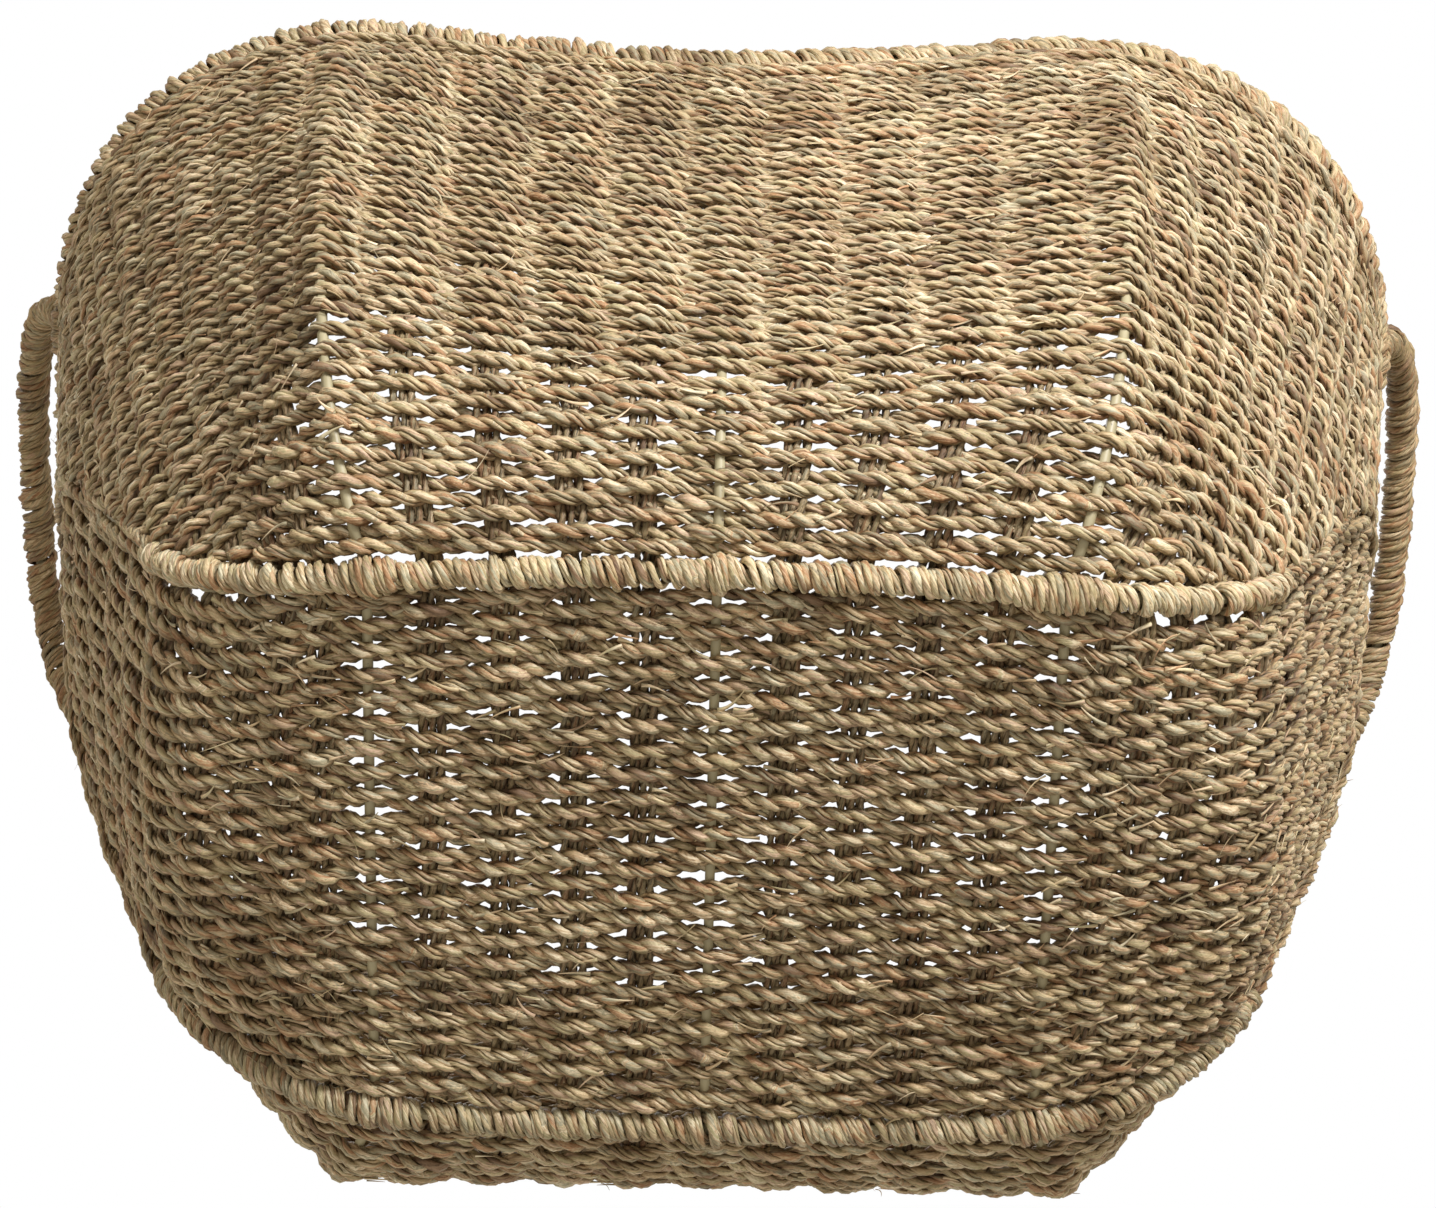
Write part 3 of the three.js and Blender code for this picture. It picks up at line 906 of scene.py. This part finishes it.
def add_knot(strands, pointer, station, half_length, radius):
    """A few wider turns round a hoop."""
    reach = half_length / np.linalg.norm(pointer(np.array([station + 0.5]))
                                         - pointer(np.array([station - 0.5])))
    span = np.linspace(station - reach, station + reach, 60)
    sizes = CORD_RADIUS + (radius - CORD_RADIUS) * np.sin(np.linspace(0, np.pi, 9)) ** 0.6
    up = np.tile([0.0, 0.0, 1.0], (len(span), 1))
    add_binding(strands, pointer(span), up, sizes, **KNOT_WINDING)


def make_bindings():
    strands = Strands()
    path, up = hoop_path(on_rim, 0, STATIONS)
    add_binding(strands, path, up, RIM_RADIUS, **RIM_WINDING)
    strands.finished(
        "rim_strands", binding_material, "seagrass_binding",
        "rim_binding_back", "rim_binding_right", "rim_binding_front", "rim_binding_left",
    )
    for place, middle in (("back", 0), ("front", HALF)):
        strands = Strands()
        path, up = hoop_path(
            on_base, middle - BOUND_STATION - RING_OVERRUN, middle + BOUND_STATION + RING_OVERRUN,
        )
        add_binding(strands, path, up, RING_RADIUS, **RING_WINDING)
        for station, half_length in RING_KNOTS:
            add_knot(strands, on_base, middle + station, half_length, RING_RADIUS + RING_KNOT_SWELL)
        # the front ring gets the painted-light copy and the back ring the painted-shade copy
        strands.finished(
            f"base_strands_{place}", ring_lit_and_shaded_copies[place], "seagrass_binding",
            f"base_binding_{place}",
        )


def handle_path(side):
    back, front = on_rim(np.array([BACK_FOOT, FRONT_FOOT]))
    turn = np.linspace(0, np.pi, 1200)
    lift = np.sin(turn + HANDLE_SKEW * np.sin(turn)).clip(0) ** HANDLE_SHOULDER
    ahead = np.cos(turn)
    share = (1 + ahead) / 2
    x = front[0] + (back[0] - front[0]) * share + HANDLE_REACH * lift
    y = np.where(ahead > 0, back[1], -front[1]) * np.abs(ahead) ** HANDLE_LEG
    z = front[2] + (back[2] - front[2]) * share + HANDLE_RISE * lift
    path = np.stack([side * x, y, z], 1)
    lean = unit(np.array([[side * HANDLE_RISE, 0.0, -HANDLE_REACH]]))
    return path, np.tile(lean, (len(path), 1))


def make_handles():
    grip = GRIP_RADIUS + GRIP_SWELL * np.sin(np.linspace(0, np.pi, 25)) ** 0.5
    for name, side in (("right", 1), ("left", -1)):
        strands = Strands()
        path, towards = handle_path(side)
        add_binding(strands, path, towards, grip, **GRIP_WINDING)
        for foot, reach in ((BACK_FOOT, BACK_KNOT), (HALF - FRONT_FOOT, FRONT_KNOT)):
            place = foot if side > 0 else STATIONS - foot
            add_knot(strands, on_rim, place, reach, CORD_RADIUS + FOOT_KNOT_SWELL)
        strands.finished(
            f"handle_strands_{name}", grip_material, "seagrass_grip", f"handle_binding_{name}",
        )


# ---------------------------------------------------------------- loose ends and edges
def add_wisp(strands, start, along, out, size, lift, wide):
    """One loose leaf or fibre that lifts off the surface."""
    t = np.linspace(0, 1, 7)[:, None]
    curl = rng.normal(0, 0.3)
    side = np.cross(along, out)
    path = start + size * (along * t + (out * lift + side * curl) * t**2)
    heart = path - out
    towards = np.tile(out, (len(t), 1))
    _, first, second = side_axes(path, towards)
    taper = wide * (1 - 0.8 * t[:, 0])
    tone = np.full(len(t), rng.random())
    strands.tube(path, first, second, 0.5 * taper, taper, tone, heart, towards, 1.5)


def scattered(surface, facing, low, high, count):
    """Random places on a surface, with the way along its rows and the way out."""
    u, v = rng.uniform(low[0], high[0], count), rng.uniform(low[1], high[1], count)
    start, out = surface(u, v), facing(u, v)
    along = unit(surface(u + SURFACE_STEP, v) - start)
    return zip(start, along, out)


def make_wisps():
    """Leaf ends that stick up out of the ropes, and thin loose fibres."""
    strands = Strands()
    for count, sizes, lifts, widths, turns in LOOSE:
        places = [
            *scattered(wall_point, wall_out, (0, 0.03), (STATIONS, 0.97), count),
            *scattered(inner_base, base_out, (-6, -0.95), (6, 0.95), count // 2),
        ]
        for start, along, out in places:
            turn = rng.uniform(-turns, turns) + np.pi * rng.integers(2)
            ahead = along * np.cos(turn) + np.cross(out, along) * np.sin(turn)
            add_wisp(
                strands, start + out * rng.uniform(*LOOSE_HEIGHT), ahead, out,
                rng.uniform(*sizes), rng.uniform(*lifts), rng.uniform(*widths),
            )
    strands.finished("loose_fibres", weave_material, "seagrass_weave")


def make_edge_ropes():
    """Straight ropes: under the rim all round, and over the base hoop where it is not bound."""
    strands = Strands()
    station = np.arange(QUARTER, QUARTER + STATIONS + 0.25, DENSE_STEP)
    span = (on_rim(station) - on_base(station))[:, 2]
    for drop, lean in RIM_ROPES:
        rise = 1 - drop / span
        out = wall_out(station, rise)
        away = lean + wander(station, *RIM_ROPE_STRAY)
        add_rope(strands, wall_point(station, rise) + out * away[:, None], out, RIM_ROPE_RADIUS)
    strands.finished("rim_ropes", weave_material, "seagrass_weave")
    strands = Strands()
    for end in (QUARTER, 3 * QUARTER):
        reach = QUARTER - BOUND_STATION + TUCK
        station = np.arange(end - reach, end + reach, DENSE_STEP)
        out = wall_out(station, np.full(len(station), SURFACE_STEP))
        path = on_base(station)
        side = unit(np.cross(np.gradient(path, axis=0), out))
        for apart, parity in HOOP_ROPES:
            lean = HOOP_ROPE_SWING + HOOP_ROPE_SWING * weave_wave(station, parity)
            aside = apart + wander(station, *HOOP_ROPE_STRAY)
            line = path + out * lean[:, None] + side * aside[:, None]
            add_rope(strands, line, out, HOOP_ROPE_RADIUS)
    strands.finished("hoop_ropes", base_material, "seagrass_base")


make_wall()
make_base()
make_stakes()
make_ribs()
make_bindings()
make_handles()
make_edge_ropes()
make_wisps()
for wire_node in ("rim_hoop", "base_hoop", "handle_wire_right", "handle_wire_left"):
    for material_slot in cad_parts[wire_node].material_slots:
        material_slot.material = steel_material


# ---------------------------------------------------------------- floor and light
def make_floor():
    """A pale floor that is seen from above only, so that the underside can be looked at.
    It fades to white with distance, and neither shades nor lights the basket."""
    mesh = bpy.data.meshes.new("floor")
    corners = [(x * FLOOR_HALF, y * FLOOR_HALF, 0) for x, y in ((-1, -1), (1, -1), (1, 1), (-1, 1))]
    mesh.from_pydata(corners, [], [(0, 1, 2, 3)])
    floor = bpy.data.objects.new("floor", mesh)
    floor.location.z = min(cad_box[0][2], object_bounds()[0][2])
    bpy.context.scene.collection.objects.link(floor)
    nodes = Nodes("floor")
    nodes.shader.inputs["Roughness"].default_value = 0.9
    place = nodes.tree.nodes.new("ShaderNodeTexCoord").outputs["Object"]
    cloud = nodes.noise(place, 3.0, 2.0)
    colour = nodes.ramp(cloud, [(0.3, (0.80, 0.79, 0.77, 1)), (0.7, (0.84, 0.83, 0.81, 1))])
    nodes.put(colour, nodes.shader.inputs["Base Color"])
    distance = nodes.tree.nodes.new("ShaderNodeVectorMath")
    distance.operation = "LENGTH"
    nodes.put(place, distance.inputs[0])
    white = nodes.add("ShaderNodeEmission", Strength=1.0)
    fade = nodes.tree.nodes.new("ShaderNodeMixShader")
    nodes.put(nodes.range(distance.outputs["Value"], *FLOOR_FADE, 0.0, 1.0), fade.inputs[0])
    nodes.put(nodes.shader.outputs[0], fade.inputs[1])
    nodes.put(white.outputs[0], fade.inputs[2])
    clear = nodes.tree.nodes.new("ShaderNodeBsdfTransparent")
    choose = nodes.tree.nodes.new("ShaderNodeMixShader")
    facing = nodes.tree.nodes.new("ShaderNodeNewGeometry").outputs["Backfacing"]
    nodes.put(facing, choose.inputs[0])
    nodes.put(fade.outputs[0], choose.inputs[1])
    nodes.put(clear.outputs[0], choose.inputs[2])
    output = nodes.tree.nodes["Material Output"]
    nodes.put(choose.outputs[0], output.inputs["Surface"])
    mesh.materials.append(nodes.material)
    floor.visible_diffuse = False
    floor.visible_glossy = False
    floor.visible_transmission = False
    floor.visible_shadow = False


def make_lamp(name, towards, distance, size, power):
    data = bpy.data.lights.new(name, "AREA")
    data.shape = "DISK"
    data.size = size
    data.energy = power
    data.color = LAMP_COLOUR
    lamp = bpy.data.objects.new(name, data)
    direction = Vector(towards).normalized()
    lamp.location = LAMP_CENTRE + direction * distance
    lamp.rotation_mode = "QUATERNION"
    lamp.rotation_quaternion = direction.to_track_quat("Z", "Y")
    bpy.context.scene.collection.objects.link(lamp)


def make_world():
    """White to the camera, and a warmer and dimmer light to the surfaces."""
    world = bpy.data.worlds.new("studio")
    world.use_nodes = True
    bpy.context.scene.world = world
    tree = world.node_tree
    shade = tree.nodes["Background"]
    shade.inputs["Strength"].default_value = WORLD_LIGHT
    shade.inputs["Color"].default_value = WORLD_COLOUR
    shown = tree.nodes.new("ShaderNodeBackground")
    shown.inputs["Strength"].default_value = 1.0
    shown.inputs["Color"].default_value = (1, 1, 1, 1)
    choose = tree.nodes.new("ShaderNodeMixShader")
    rays = tree.nodes.new("ShaderNodeLightPath")
    tree.links.new(rays.outputs["Is Camera Ray"], choose.inputs[0])
    tree.links.new(shade.outputs[0], choose.inputs[1])
    tree.links.new(shown.outputs[0], choose.inputs[2])
    tree.links.new(choose.outputs[0], tree.nodes["World Output"].inputs["Surface"])


make_floor()
make_world()
for lamp_values in LAMPS:
    make_lamp(*lamp_values)
bpy.context.scene.view_settings.view_transform = "Standard"


def numbers(box):
    return [list(map(float, corner)) for corner in box]
